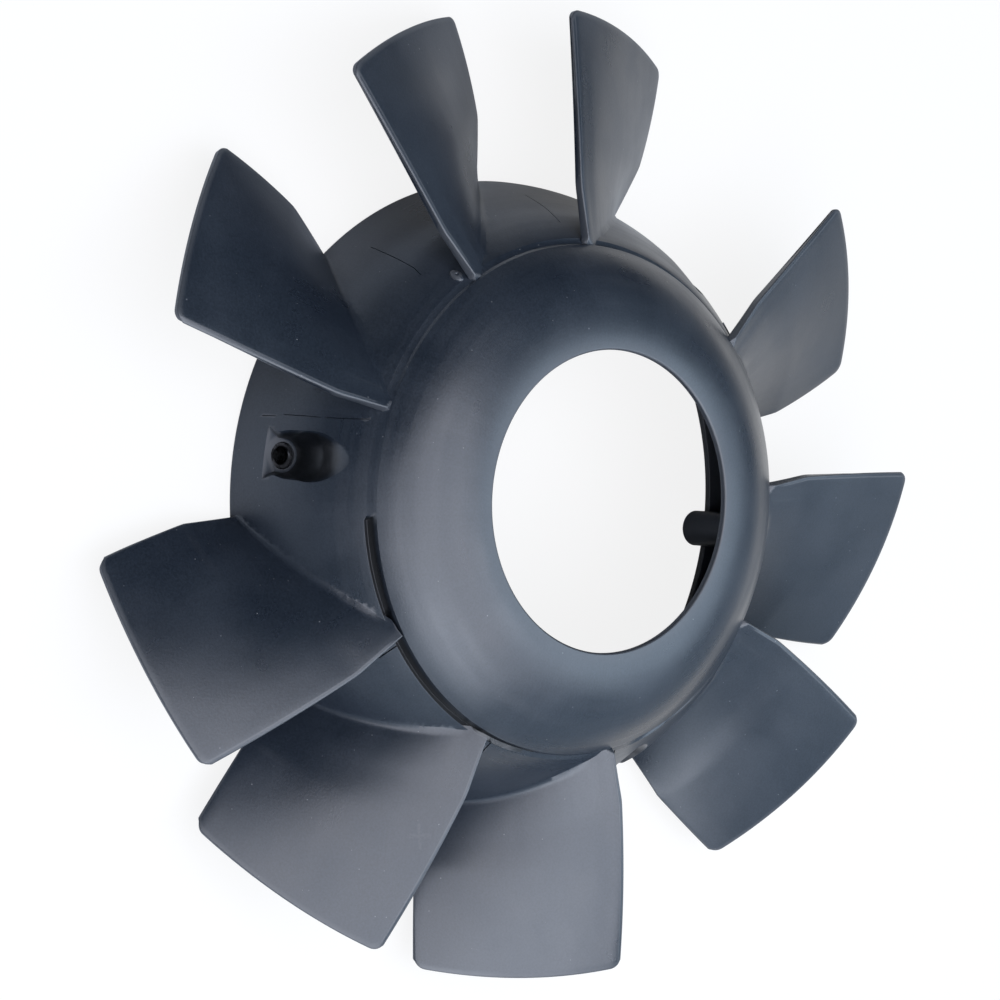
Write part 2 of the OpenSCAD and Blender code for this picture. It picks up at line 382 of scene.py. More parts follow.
# %% The two faces of a blade
CHORD, REACH = 75.0, 66.0
THICKNESS = (3.6, 2.6)
BLADE_LEAD = 0.35
EDGE_ROUND = 0.5
FILLET, FILLET_TOP = 1.6, (53.6, 46.0)
CORNER_Z, CORNER_SLOPE, CORNER_SQUASH = 56.5, 0.55, 0.02
CHAMFER_WIDE, CHAMFER_DROP, CHAMFER_FROM, CHAMFER_OVER = 1.6, 0.35, 1, 9
NUDGE = 0.004


def guide_normals(u, s, gap):
    along = guide(np.clip(u + NUDGE, 0, 1), s, gap) - guide(np.clip(u - NUDGE, 0, 1), s, gap)
    out = guide(u, np.clip(s + NUDGE, 0, 1), gap) - guide(u, np.clip(s - NUDGE, 0, 1), gap)
    normals = np.cross(out, along)
    return normals / np.linalg.norm(normals, axis=-1, keepdims=True)


def blade_face(u, s, gap, front):
    """One face of a blade as a grid of points in mm; front is 1 for the face that shows."""
    points, normals = guide(u, s, gap), guide_normals(u, s, gap)
    thick = mix(THICKNESS, s)
    inward = np.minimum(np.minimum(u, 1 - u) * CHORD, (1 - s) * REACH)
    corner = 1 - np.clip(inward / EDGE_ROUND, 0, 1)
    half = thick / 2 - EDGE_ROUND * (1 - np.sqrt(1 - corner ** 2))

    off_skirt = np.hypot(points[..., 0], points[..., 1]) - skirt_r(points[..., 2])
    near = np.clip(1 - off_skirt / FILLET, 0, 1)
    fade = np.clip((FILLET_TOP[0] - points[..., 2]) / (FILLET_TOP[0] - FILLET_TOP[1]), 0, 1)
    flare = FILLET * (1 - np.sqrt(1 - near ** 2)) * fade * fade * (3 - 2 * fade)
    chamfer = CHAMFER_DROP * np.clip(1 - (1 - u) * CHORD / CHAMFER_WIDE, 0, 1)
    chamfer = chamfer * np.clip((off_skirt - CHAMFER_FROM) / CHAMFER_OVER, 0, 1)

    middle = points + normals * (thick * (BLADE_LEAD - 0.5))[..., None]
    face = middle + front * normals * (half + flare - chamfer * (front > 0))[..., None]
    tilt = skirt_r(face[..., 2]) - skirt_r(middle[..., 2])
    r = np.hypot(face[..., 0], face[..., 1])
    face[..., :2] *= ((r + tilt * near) / r)[..., None]
    if not gap:
        slope = CORNER_Z + CORNER_SLOPE * (np.hypot(face[..., 0], face[..., 1]) - DOME_R)
        face[..., 2] = np.minimum(face[..., 2], slope + CORNER_SQUASH * (face[..., 2] - slope))
    return face


print("a blade is", THICKNESS[0], "mm thick at its root and", THICKNESS[1], "mm at its tip")

# %% [markdown]
# The grid's lines crowd together where the shape turns fast, at the edges and at the root, and
# stand wide apart in the calm middle. An even grid would need many times the faces for the same
# edges. A band of faces then closes the two grids all round, and the blade is a closed solid that
# a boolean can join to the hub.

# %% Build one blade
NEAR_EDGE = (0.8, 1.15, 1.6, 2.1, 2.4, 2.7, 3.2, 3.9, 4.8)
EDGE_LINES, ROOT_LINES, ROOT_ZONE = 5, 11, 6.0


def blade_lines(across, outward):
    """Where the grid's lines run, as shares from rear to front and from root to tip."""
    near = (1 - np.cos(np.linspace(0, math.pi / 2, EDGE_LINES))) * EDGE_ROUND
    side = np.concatenate([near, NEAR_EDGE])
    calm = np.linspace(side[-1], CHORD - side[-1], across)[1:-1]
    u = np.concatenate([side, calm, (CHORD - side)[::-1]]) / CHORD
    foot = np.linspace(0, ROOT_ZONE, ROOT_LINES)
    calm = np.linspace(foot[-1], REACH - near[-1], outward)[1:-1]
    return u, np.concatenate([foot, calm, (REACH - near)[::-1]]) / REACH


def two_sheets(rows, cols):
    """Faces of two grids of points back to back, and of the band that closes them."""
    back = rows * cols
    faces = []
    for a in (i * rows + k for i in range(cols - 1) for k in range(rows - 1)):
        faces.append((a, a + rows, a + rows + 1, a + 1))
        faces.append((a + back, a + back + 1, a + back + rows + 1, a + back + rows))
    ring = list(range(rows)) + [i * rows + rows - 1 for i in range(1, cols)]
    ring += [(cols - 1) * rows + k for k in range(rows - 2, -1, -1)]
    ring += [i * rows for i in range(cols - 2, 0, -1)]
    return faces + [(a, b, b + back, a + back) for a, b in zip(ring, ring[1:] + ring[:1])]


def blade(name, gap=None, across=24, outward=30):
    u, s = blade_lines(across, outward)
    grid = np.meshgrid(u, s, indexing="ij")
    points = np.concatenate([blade_face(*grid, gap, front).reshape(-1, 3) for front in (1, -1)])
    return reshaped(solid(name, points, two_sheets(len(s), len(u))), weld=0.01)


print("a blade's grid has", [len(lines) for lines in blade_lines(24, 30)], "lines")

# %% [markdown]
# The blades are copies of one shape, each turned to its place. Only the two at the near side's
# groove stop short of the dome, because the photograph shows the black band running on behind
# their front corners. They are joined to the hub, so that no seam shows at their roots.

# %% Join the nine blades to the hub
FIRST_POCKET, THIRD = -90.0, 120
BLADE_ANGLES = (38.3, 71.3, 108.2)
GAP_AT_BLADE = {0: 99.7, 1: 100.9}

turns = [FIRST_POCKET + THIRD * group + angle for group in range(3) for angle in BLADE_ANGLES]
for number, turn in enumerate(turns):
    one = blade("blade", GAP_AT_BLADE.get(number))
    one.data.transform(Matrix.Rotation(math.radians(turn), 4, "Z"))
    combine(hub, one, "UNION")
print("hub with", len(turns), "blades:", len(hub.data.polygons), "faces")

# %% [markdown]
# A pocket is a channel with a rounded inner end and a flat floor, and it opens outward through
# the skirt. A plain cylinder with a slot would show a hard edge where the two meet. So the walls
# are lofted through level slices, and the round end and the flaring sides are one smooth surface
# that fades into the skirt at its top.

# %% Loft a pocket's channel
FIXING_R, FLOOR_Z, NOSE_R, NOSE_SPREAD = 114.4, 17.0, 6.3, 0.2
CHANNEL_H, CHANNEL_LEAN, CHANNEL_REACH = 34.0, 0.12, 30.0
WALL_HEIGHTS, WALL_WIDTHS, WALL_EASE = (0, 9, 34), (6.3, 9.8, 13.1), 9
FADE_FROM, FADE_OVER, FADE_SOFT = 16.0, 12.0, 2.6
FLARE_AT, FLARE_WIDTHS = (3, 6, 9, 30), (6.3, 8.3, 11.0, 26.0)
FLARE_END, FLARE_OVER = 11.5, 5
NOSE_POINTS, SIDE_POINTS = 33, 31


def channel_slice(z, grow):
    """The channel's outline (x, y) at one height, grown by some mm all round."""
    h = z - FLOOR_Z
    centre = FIXING_R + CHANNEL_LEAN * h
    nose = NOSE_R + NOSE_SPREAD * h
    deep = float(skirt_r(z)) - (centre - nose)
    soft = FADE_SOFT * float(np.clip((h - FADE_FROM) / FADE_OVER, 0, 1))
    centre += deep - deep * deep / (deep + soft) if deep > 0 and soft > 0 else 0
    radius = nose + grow
    side = float(np.interp(h, WALL_HEIGHTS, WALL_WIDTHS)) + grow
    open_share = np.clip((FLARE_END - h) / FLARE_OVER, 0, 1)
    edge = []
    for x in np.linspace(0, CHANNEL_REACH, SIDE_POINTS):
        ease = np.clip(x / WALL_EASE, 0, 1)
        wall = radius + (side - radius) * ease * (2 - ease)
        flare = float(np.interp(x, FLARE_AT, FLARE_WIDTHS)) + grow
        edge.append((centre + x, max(wall, wall + (flare - wall) * open_share)))
    arc = [(centre - radius * math.sin(t), radius * math.cos(t))
           for t in np.linspace(0, math.pi, NOSE_POINTS)]
    return edge[:0:-1] + arc + [(x, -y) for x, y in edge[1:]]


def channel(name, grow, base, rows=40):
    points = []
    for z in np.linspace(base, FLOOR_Z + CHANNEL_H, rows):
        points += [(x, y, z) for x, y in channel_slice(z, grow)]
    n = len(points) // rows
    faces = [(j * n + i, j * n + (i + 1) % n, (j + 1) * n + (i + 1) % n, (j + 1) * n + i)
             for j in range(rows - 1) for i in range(n)]
    faces += [tuple(range(n))[::-1], tuple(range((rows - 1) * n, rows * n))]
    return solid(name, points, faces)


print("a slice of the channel has", len(channel_slice(FLOOR_Z, 0)), "points")

# %% [markdown]
# Behind each pocket the wall bulges into the hub as a housing, with a pad below the floor that
# the bush sits in, and a round boss stands between two pockets. Posts and a wider channel make
# them. All of them end inside the hub's wall, so each is first cut by a solid that fills the hub
# up to the middle of that wall, and nothing can poke out through the skirt.

# %% Posts, and the space inside the hub
POST_CHAMFER, POST_POINTS = 0.4, 72


def post(name, at, radius, low, high):
    """An upright round post at x = at, with a small chamfer at its foot."""
    outline = [(0.0, low), (radius - POST_CHAMFER, low), (radius, low + POST_CHAMFER),
               (radius, high), (0.0, high)]
    return reshaped(turned(name, outline, POST_POINTS, at, closed=False), weld=0.001)


def core():
    """The space inside the middle of the hub's wall, where housings and bosses end."""
    outline = [(0.0, -1.0), (0.0, LIP_Z - WALL / 2)] + dome_arc(WALL / 2, 24)
    outline += skirt_line(WALL_ACROSS / 2, LEDGE_Z - WALL, 0, 30)
    outline += [(RIM_R - WALL_ACROSS / 2, -1.0)]
    return reshaped(turned("core", outline), weld=0.001, slivers=0.0005)


print("the core ends", round(WALL_ACROSS / 2, 2), "mm inside the skirt's skin")

# %% [markdown]
# Now the three groups are built like the blades: each part is made once in its own frame and
# turned to its place. The housings and bosses are added first and the pockets cut last, because a
# pocket has to stay open through everything that stands round it.

# %% Add the housings and bosses, then cut the pockets
BUSH_R = 5.2
BOSS_AT, BOSS_R, BOSS_ANGLE = 110.4, 7.4, 60.6
HOUSING_WALL, HOUSING_BELOW, PAD_WALL = 2.6, 4, 2.4

for group in range(3):
    spin = Matrix.Rotation(math.radians(FIRST_POCKET + THIRD * group), 4, "Z")
    boss_spin = Matrix.Rotation(math.radians(FIRST_POCKET + THIRD * group + BOSS_ANGLE), 4, "Z")
    for made, turn in (
        (channel("housing", HOUSING_WALL, FLOOR_Z - HOUSING_BELOW), spin),
        (post("pad", FIXING_R, BUSH_R + PAD_WALL, 0, FLOOR_Z - 1), spin),
        (post("boss", BOSS_AT, BOSS_R, 0, LEDGE_Z), boss_spin),
    ):
        made.data.transform(turn)
        combine(made, core(), "INTERSECT")
        combine(hub, made, "UNION")
    hole = post("hole", FIXING_R, BUSH_R, -1, FLOOR_Z + 1)
    for made in (channel("pocket", 0, FLOOR_Z), hole):
        made.data.transform(spin)
        combine(hub, made, "DIFFERENCE")
print("whole moulding:", len(hub.data.polygons), "faces")

# %% [markdown]
# The mould has left small marks. Where its parts met, hairlines run up the skirt, and at the
# blades' roots there are thin flashes and one teardrop with a dimple. Two shapes make them all: a
# strip along points of the skin, which is cut as a slot or added as a flash, and a squashed ball.

# %% Strips and small balls
def skin_strip(name, points, wide, low, high):
    """A strip through points (angle, z, out) on the skirt, from low to high along its normal."""
    at = []
    for angle, z, out in points:
        r = float(skirt_r(z)) + out
        a = math.radians(angle)
        lean = float(skirt_r(z - 0.5) - skirt_r(z + 0.5))
        up = Vector((math.cos(a), math.sin(a), lean)).normalized()
        at.append((Vector((r * math.cos(a), r * math.sin(a), z)), up))
    verts = []
    for k, (here, up) in enumerate(at):
        run = (at[min(k + 1, len(at) - 1)][0] - at[max(k - 1, 0)][0]).normalized()
        side = run.cross(up).normalized() * wide / 2
        verts += [here + up * low - side, here + up * low + side,
                  here + up * high + side, here + up * high - side]
    last = 4 * (len(at) - 1)
    faces = [(0, 1, 2, 3), (last + 3, last + 2, last + 1, last)]
    faces += [(4 * k + i, 4 * k + 4 + i, 4 * k + 4 + (i + 1) % 4, 4 * k + (i + 1) % 4)
              for k in range(len(at) - 1) for i in range(4)]
    return solid(name, verts, faces)


def ball(name, at, ways, sizes):
    """A ball at a point in mm, stretched to three sizes along three ways."""
    axes = [way * size for way, size in zip(ways, sizes)]
    shape = bmesh.new()
    bmesh.ops.create_uvsphere(shape, u_segments=24, v_segments=14, radius=1)
    stretch = Matrix([[*row] for row in zip(*axes)]) * MM
    for point in shape.verts:
        point.co = stretch @ point.co + Vector(at) * MM
    mesh = bpy.data.meshes.new(name)
    shape.to_mesh(mesh)
    shape.free()
    piece = bpy.data.objects.new(name, mesh)
    bpy.context.scene.collection.objects.link(piece)
    return piece


print("helpers for the mould's marks: skin_strip and ball")

# %% [markdown]
# The marks' points were found by casting places in the photograph onto the model, and each is
# given as an angle, a height and how far it stands out. A hairline is narrow and shallow, a crack
# beside a blade is wider and deeper, and a flash is a thin ridge next to it.

# %% Cut the hairlines and cracks, add the flashes
HAIRLINES = (
    ((263.6, 12.6, 0), (263.4, 19.0, 0)), ((263.0, 22.5, 0), (262.5, 36.5, 0)),
    ((262.4, 38.5, 0), (261.9, 44.7, 0), (261.0, 52.0, 0)),
    ((226.5, 19.0, 0), (226.7, 24.7, 0), (227.0, 39.9, 0), (227.6, 43.5, 0)),
    ((191.6, 27.0, 0), (191.4, 30.8, 0), (190.9, 37.7, 0), (190.8, 46.5, 0)),
)
CRACKS = (
    ((309.9, 54.4, 0), (310.4, 51.8, 0), (311.2, 47.4, 0)),
    ((343.9, 54.4, 0), (344.2, 51.6, 0), (344.9, 47.6, 0)),
    ((19.7, 54.6, 0), (20.3, 52.6, 0)),
)
FLASHES = (
    ((309.0, 53.6, 0), (309.7, 51.2, 0), (310.7, 46.8, 0)),
    ((342.4, 53.7, 0), (343.1, 51.2, 0), (344.2, 47.8, 0)),
    ((134.0, 49.0, 0.2), (140.0, 48.2, 0.3)), ((257.7, 32.2, 0), (257.7, 34.0, 0)),
)
HAIRLINE_SIZE, CRACK_SIZE, FLASH_SIZE = (0.34, -0.7, 0.6), (0.6, -1.3, 0.6), (0.45, -0.6, 0.35)

for name, paths, size, how in (
    ("hairline", HAIRLINES, HAIRLINE_SIZE, "DIFFERENCE"),
    ("crack", CRACKS, CRACK_SIZE, "DIFFERENCE"),
    ("flash", FLASHES, FLASH_SIZE, "UNION"),
):
    for path in paths:
        combine(hub, skin_strip(name, path, *size), how)
print("with hairlines, cracks and flashes:", len(hub.data.polygons), "faces")

# %% [markdown]
# The teardrop is a blob of plastic by the root of an upper blade, with a dimple pressed in.
# A squashed ball sunk in the skin gives its soft rise, and a smaller ball takes out the dimple.

# %% The teardrop with its dimple
TEAR_AT, TEAR_ANGLE, TEAR_LEAN = (-75.2, -70.6, 52.0), math.radians(223.2), 0.9
TEAR_SIZES, DIMPLE_SIZES, DIMPLE_OUT = (2.1, 3.2, 1.3), (0.8, 0.9, 0.9), 1.5

out_way = Vector((math.cos(TEAR_ANGLE), math.sin(TEAR_ANGLE), TEAR_LEAN)).normalized()
side_way = Vector((0, 0, 1)).cross(out_way).normalized()
tear_ways = (side_way, out_way.cross(side_way), out_way)
combine(hub, ball("tear", TEAR_AT, tear_ways, TEAR_SIZES), "UNION")
dimple_at = Vector(TEAR_AT) + out_way * DIMPLE_OUT
combine(hub, ball("dimple", dimple_at, tear_ways, DIMPLE_SIZES), "DIFFERENCE")
print("with the teardrop:", len(hub.data.polygons), "faces")

# %% [markdown]
# The finish later needs to know two things about each point: whether it lies on a sharp outer
# edge, which is painted lighter, partly for wear and partly as a painted highlight, and how deep it
# lies in a pocket or in the groove, where painted shade makes the plastic darkest. Both are
# measured on the finished mesh and kept on it as attributes. A mask painted by hand would have to
# be painted again after every change of shape.

# %% Measure the edges and the pockets
WEAR_AND_HIGHLIGHT_FULL, SKIRT_WEAR_AND_HIGHLIGHT, SKIRT_ZONE, SKIRT_NEAR = math.radians(26), 0.3, (20, 50), 0.8
CREST_ZONE = (52.0, 55.0)
POCKET_LOW, POCKET_TOP = FLOOR_Z + 0.3, 50
POCKET_IN, POCKET_FROM, POCKET_OVER = 104, 0.4, 6
GROOVE_LOW, GROOVE_IN, GROOVE_SEEN = 50.8, 98.4, 0.05
GROOVE_WALL, GROOVE_FLOOR = (99.2, 56.4), (101.9, 53.2)


# Sharp outer edges are later painted lighter, partly for wear and partly as a painted highlight.
def wear_and_highlight_at(point, r, z):
    """How sharply the faces at a point bend outward, from 0 to 1, and 0 on the ledge's crest."""
    if CREST_ZONE[0] < z < CREST_ZONE[1] and r < SKIRT_TOP[0]:
        return 0.0
    bend = sum(max(0.0, edge.calc_face_angle_signed(0))
               for edge in point.link_edges if len(edge.link_faces) == 2)
    on_skirt = SKIRT_ZONE[0] < z < SKIRT_ZONE[1] and abs(float(skirt_r(z)) - r) < SKIRT_NEAR
    return min(1.0, bend / WEAR_AND_HIGHLIGHT_FULL) * (SKIRT_WEAR_AND_HIGHLIGHT if on_skirt else 1)


# This depth later sets where shade is painted into the colour.
def sunk_at(angle, r, z):
    """How deep a point lies in a pocket, from 0 to 1, and 1 in the ledge's groove."""
    if by_angle(GROOVE_DEPTH, angle) > GROOVE_SEEN and z > GROOVE_LOW and r > GROOVE_IN:
        if any(r < most and z < top for most, top in (GROOVE_WALL, GROOVE_FLOOR)):
            return 1.0
    if POCKET_LOW < z < POCKET_TOP and r > POCKET_IN:
        return min(1.0, max(0.0, (float(skirt_r(z)) - r - POCKET_FROM) / POCKET_OVER))
    return 0.0


shape = bmesh.new()
shape.from_mesh(hub.data)
worn_and_highlit, sunk = [], []
for point in shape.verts:
    r, z = math.hypot(point.co.x, point.co.y) / MM, point.co.z / MM
    worn_and_highlit.append(wear_and_highlight_at(point, r, z))
    sunk.append(sunk_at(math.degrees(math.atan2(point.co.y, point.co.x)), r, z))
shape.free()
for name, values in (("edge_wear_and_highlight", worn_and_highlit), ("pocket_depth", sunk)):
    hub.data.attributes.new(name, "FLOAT", "POINT").data.foreach_set("value", values)
    print(name, "is above 0 at", sum(value > 0 for value in values), "of", len(values), "points")

# %% [markdown]
# A moulding's skin runs smoothly round every small radius, so its faces are shaded smooth, and
# only edges that turn by more than the steps of a rounded corner stay sharp. Then the moulding
# takes the place of the plain CAD solid, which stays behind it for collision.

# %% Smooth the moulding and hand it over
SHARP_FROM = math.radians(38)

for face in hub.data.polygons:
    face.use_smooth = True
hub.data.set_sharp_from_angle(angle=SHARP_FROM)
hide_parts("fan_wheel")
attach(hub, "root")
print("triangles:", sum(len(face.vertices) - 2 for face in hub.data.polygons))

# %% [markdown]
# All finishes here are node trees, and most of their nodes do small sums. Written out, each node
# takes several lines, so one helper adds a node and feeds its sockets with numbers or with other
# nodes' outputs. The helpers after it are the few kinds of node that the finishes share.

# %% Helpers for node trees
def node_material(name):
    """A new material, its node tree and its main shader."""
    mat = bpy.data.materials.new(name)
    mat.use_nodes = True
    return mat, mat.node_tree, mat.node_tree.nodes["Principled BSDF"]


def node(tree, kind, output, feeds, **settings):
    """Add a node and give one of its outputs, or all of them where output is None."""
    step = tree.nodes.new("ShaderNode" + kind)
    for name, value in settings.items():
        setattr(step, name, value)
    for name, value in feeds.items():
        if isinstance(value, bpy.types.NodeSocket):
            tree.links.new(value, step.inputs[name])
        else:
            step.inputs[name].default_value = value
    return step.outputs[output] if output else step.outputs


def math_node(tree, how, a, b):
    return node(tree, "Math", "Value", {0: a, 1: b}, operation=how)


def vector_node(tree, how, a, b=(0, 0, 0), output="Vector"):
    return node(tree, "VectorMath", output, {0: a, 1: b}, operation=how)


def ramp_value(tree, value, low, high, start=0.0, stop=1.0, smooth=True):
    """Turn a value between low and high into one between start and stop."""
    feeds = {"Value": value, "From Min": low, "From Max": high, "To Min": start, "To Max": stop}
    kind = "SMOOTHSTEP" if smooth else "LINEAR"
    return node(tree, "MapRange", "Result", feeds, interpolation_type=kind)


def colour_mix(tree, share, one, two):
    """Blend two colours by a share; a colour is a socket or three numbers."""
    feeds = {name: (*value, 1) if isinstance(value, tuple) else value
             for name, value in (("A", one), ("B", two))}
    return node(tree, "Mix", "Result", {"Factor": share, **feeds}, data_type="RGBA")


print("helpers for nodes: node, math_node, vector_node, ramp_value and colour_mix")

# %% [markdown]
# The floor is a plain pale sheet under the rear rim. The camera sees it white, as in the
# photograph, and the fan's own shadow still falls on it. In the photograph the plastic mirrors a
# bright table on its far side and a greyer one on its near side, so for mirrored rays the paper's
# own glow grows from the near side to the far side. Under the hub it doesn't glow, because a
# table there would lie in the fan's own shade.

# %% The floor
FLOOR_SIZE, FLOOR_DROP, FLOOR_ROUGH = 3000, 0.3, 0.4
LIT_FLOOR, SEEN_FLOOR = (0.48, 0.51, 0.55), (0.88, 0.88, 0.88)
WHITE_SHARE, NEAR_GLOW, FAR_GLOW = 0.86, 0.1, 1.0
GLOW_FROM, GLOW_TO, SHADE_FROM, SHADE_TO = -0.15, 0.3, 0.10, 0.16

corners = [(x * FLOOR_SIZE, y * FLOOR_SIZE, -FLOOR_DROP)
           for x, y in ((-1, -1), (1, -1), (1, 1), (-1, 1))]
floor = solid("floor", corners, [(0, 1, 2, 3)])
pale, tree, surface = node_material("pale_floor")
surface.inputs["Roughness"].default_value = FLOOR_ROUGH
ray = node(tree, "LightPath", None, {})
colour = colour_mix(tree, ray["Is Camera Ray"], LIT_FLOOR, SEEN_FLOOR)
tree.links.new(colour, surface.inputs["Base Color"])

place = node(tree, "TexCoord", "Object", {})
away = vector_node(tree, "LENGTH", place, output="Value")
glow = node(tree, "SeparateXYZ", "Y", {"Vector": place})
glow = ramp_value(tree, glow, GLOW_FROM, GLOW_TO, NEAR_GLOW, FAR_GLOW)
mirrored = math_node(tree, "MAXIMUM", ray["Is Glossy Ray"], ray["Is Transmission Ray"])
mirrored = math_node(tree, "MULTIPLY", mirrored, glow)
mirrored = math_node(tree, "MULTIPLY", mirrored, ramp_value(tree, away, SHADE_FROM, SHADE_TO))
direct = math_node(tree, "MULTIPLY", ray["Is Camera Ray"], WHITE_SHARE)
share = math_node(tree, "MAXIMUM", direct, mirrored)
paper = node(tree, "Emission", "Emission", {"Strength": 1.0})
sheet = node(tree, "MixShader", "Shader", {"Fac": share, 1: surface.outputs["BSDF"], 2: paper})
tree.links.new(sheet, tree.nodes["Material Output"].inputs["Surface"])
floor.data.materials.append(pale)
print("floor:", len(tree.nodes), "nodes,", FLOOR_DROP, "mm under the rear rim")

# %% [markdown]
# The photograph's shine tells where its light came from. Every lit pixel was sorted by the
# direction that its surface mirrors. Mirrors of the zenith and of the +X and +Y sides are bright,
# and mirrors of the -X side are nearly black. So the world is a soft sweep from dark to light
# across that line, as in a studio with one bright wall.

# %% The world
BRIGHT_SIDE = Vector((0.66, 0.42, 0.62)).normalized()
SWEEP_FROM, SWEEP_TO, WORLD_DARK, WORLD_BRIGHT = -0.15, 0.95, 0.06, 0.6
WORLD_COLOUR = (0.64, 0.81, 1.0, 1)

world = bpy.data.worlds.new("studio")
bpy.context.scene.world = world
world.use_nodes = True
tree = world.node_tree
way = node(tree, "TexCoord", "Generated", {})
aim = vector_node(tree, "DOT_PRODUCT", way, BRIGHT_SIDE, output="Value")
bright = ramp_value(tree, aim, SWEEP_FROM, SWEEP_TO, WORLD_DARK, WORLD_BRIGHT)
tree.links.new(bright, tree.nodes["Background"].inputs["Strength"])
tree.nodes["Background"].inputs["Color"].default_value = WORLD_COLOUR
bpy.context.scene.view_settings.view_transform = "Standard"
print("the world's strength runs from", WORLD_DARK, "to", WORLD_BRIGHT)

# %% [markdown]
# Three large soft lights stand in front of that world: one overhead, and two weaker ones at the
# near and the far side. Small lamps would draw hard spots on the satin plastic, and large ones
# give the broad pale bands that the photograph shows on the dome and the blades.

# %% The soft lights
LIGHT_AWAY, LIGHT_AIM_Z = 1.7, 0.04
SOFTBOXES = (
    ("overhead", (0.27, -0.19, 0.95), (2.4, 2.4), 41, (0.885, 0.90, 1.0)),
    ("near_wall", (0.75, -0.16, 0.64), (1.1, 1.1), 4.8, (0.78, 0.87, 1.0)),
    ("far_wall", (0.05, 0.67, 0.74), (1.2, 1.1), 7.9, (0.68, 0.83, 1.0)),
)

for name, toward, size, power, colour in SOFTBOXES:
    lamp = bpy.data.lights.new(name, "AREA")
    lamp.shape = "RECTANGLE"
    lamp.size, lamp.size_y = size
    lamp.energy = power
    lamp.color = colour
    light = bpy.data.objects.new(name, lamp)
    away = Vector(toward).normalized()
    light.location = away * LIGHT_AWAY + Vector((0, 0, LIGHT_AIM_Z))
    light.rotation_euler = away.to_track_quat("Z", "Y").to_euler()
    bpy.context.scene.collection.objects.link(light)
    print(name, "light:", power, "W")

# %% [markdown]
# The plastic is blue-black, satin and never even. Up close it has a fine grain. Further off there
# are clouds, as where oil has dried, and faint rubs round the dome and up the skirt. Each is a
# noise of its own size in the part's own space, so nothing slides when the camera moves. A noise
# stretched along one way gives the rubs, and they are strong on the hub and weak on the blades.

# %% The plastic's noises
CLOUD, GRAIN, SWAY = (26, 5), (1250, 2), (42, 2)
ROUND_RUB, UP_RUB, UP_RUB_STEP = ((16, 16, 420), 3), ((46, 46, 0), 1), (0, 0, 14)
HUB_FROM, HUB_TO, BLADE_SHARE = 0.100, 0.125, 0.25


def noise(tree, vector, scale, detail):
    return node(tree, "TexNoise", "Fac", {"Vector": vector, "Scale": scale, "Detail": detail})


def stretched_noise(tree, vector, stretch, detail):
    return noise(tree, vector_node(tree, "MULTIPLY", vector, stretch), 1, detail)


def rubs(tree, place):
    """Noise round the axis, noise up the skirt, and how strongly both show."""
    flat = vector_node(tree, "MULTIPLY", place, (1, 1, 0))
    radius = vector_node(tree, "LENGTH", flat, output="Value")
    spoke = vector_node(tree, "MULTIPLY", vector_node(tree, "NORMALIZE", flat), UP_RUB[0])
    upward = vector_node(tree, "ADD", spoke, vector_node(tree, "MULTIPLY", place, UP_RUB_STEP))
    on_hub = ramp_value(tree, radius, HUB_FROM, HUB_TO, 1, BLADE_SHARE)
    return stretched_noise(tree, place, *ROUND_RUB), noise(tree, upward, 1, UP_RUB[1]), on_hub


sizes = [round(1 / scale / MM, 1) for scale, detail in (GRAIN, SWAY, CLOUD)]
print("grain, sway and clouds are about", sizes, "mm wide")

# %% [markdown]
# The colour is built from dark to light. The noises pick a place between two blue-blacks. Sharp
# edges and scratches lighten it, the edges partly for wear and partly as a painted highlight. A few
# pale specks of dust lie on top, and painted shade takes the pockets and the groove nearly black. A
# few scratches are where the photograph has them, on the dome, the skirt and a blade: each is a
# line in space, and the plastic lightens where it comes close to it.

# %% The plastic's marks
SCRATCHES = (
    ((5.0, -69.5, 73.6), (11.6, -68.4, 73.6), 0.22),
    ((9.3, -62.5, 74.6), (11.4, -61.7, 74.6), 0.25),
    ((87.7, 22.0, 64.4), (87.7, 28.3, 63.1), 0.22),
    ((87.0, 38.8, 60.5), (86.7, 45.1, 58.0), 0.22),
    ((-2.8, 75.8, 71.9), (-2.9, 80.1, 70.2), 0.25),
    ((-92.1, -0.5, 63.1), (-89.2, -0.8, 65.2), 0.3),
    ((-100.0, -65.3, 46.9), (-98.0, -60.5, 45.5), 0.3),
    ((-98.6, -65.0, 46.5), (-96.8, -60.8, 45.0), 0.2),
    ((135.3, -56.5, 48.8), (134.6, -50.1, 51.6), 1.5),
    ((130.9, -53.7, 49.8), (139.4, -52.5, 50.7), 1.1),
)
EDGE_SHOWS, EDGE_PATCHY = (0.25, 0.9, 0, 0.75), (0.25, 0.6, 0.5, 1)
SCRATCH_SHOWS = (0.35, 0.6, 0.2, 0.55)
DUST_SCALE, DUST_FROM, DUST_SIZE = 300, 0.55, 0.085


def scratch(tree, place, start, stop, half_width):
    """1 along a line between two points given in mm, easing to 0 at its sides."""
    start, stop = Vector(start) * MM, Vector(stop) * MM
    run = stop - start
    offset = vector_node(tree, "SUBTRACT", place, start)
    along = vector_node(tree, "DOT_PRODUCT", offset, run / run.length_squared, output="Value")
    along = ramp_value(tree, along, 0, 1, smooth=False)
    foot = node(tree, "VectorMath", "Vector", {0: run, "Scale": along}, operation="SCALE")
    away = vector_node(tree, "DISTANCE", offset, foot, output="Value")
    return ramp_value(tree, away, 0, half_width * MM, 1, 0)


# Sharp edges turn lighter: partly wear, partly a painted highlight where their corners catch light.
def worn_and_highlit_edges(tree, cloud):
    wear_and_highlight_mask = node(tree, "Attribute", "Fac", {}, attribute_name="edge_wear_and_highlight")
    patchy = ramp_value(tree, cloud, *EDGE_PATCHY)
    return math_node(tree, "MULTIPLY", ramp_value(tree, wear_and_highlight_mask, *EDGE_SHOWS), patchy)


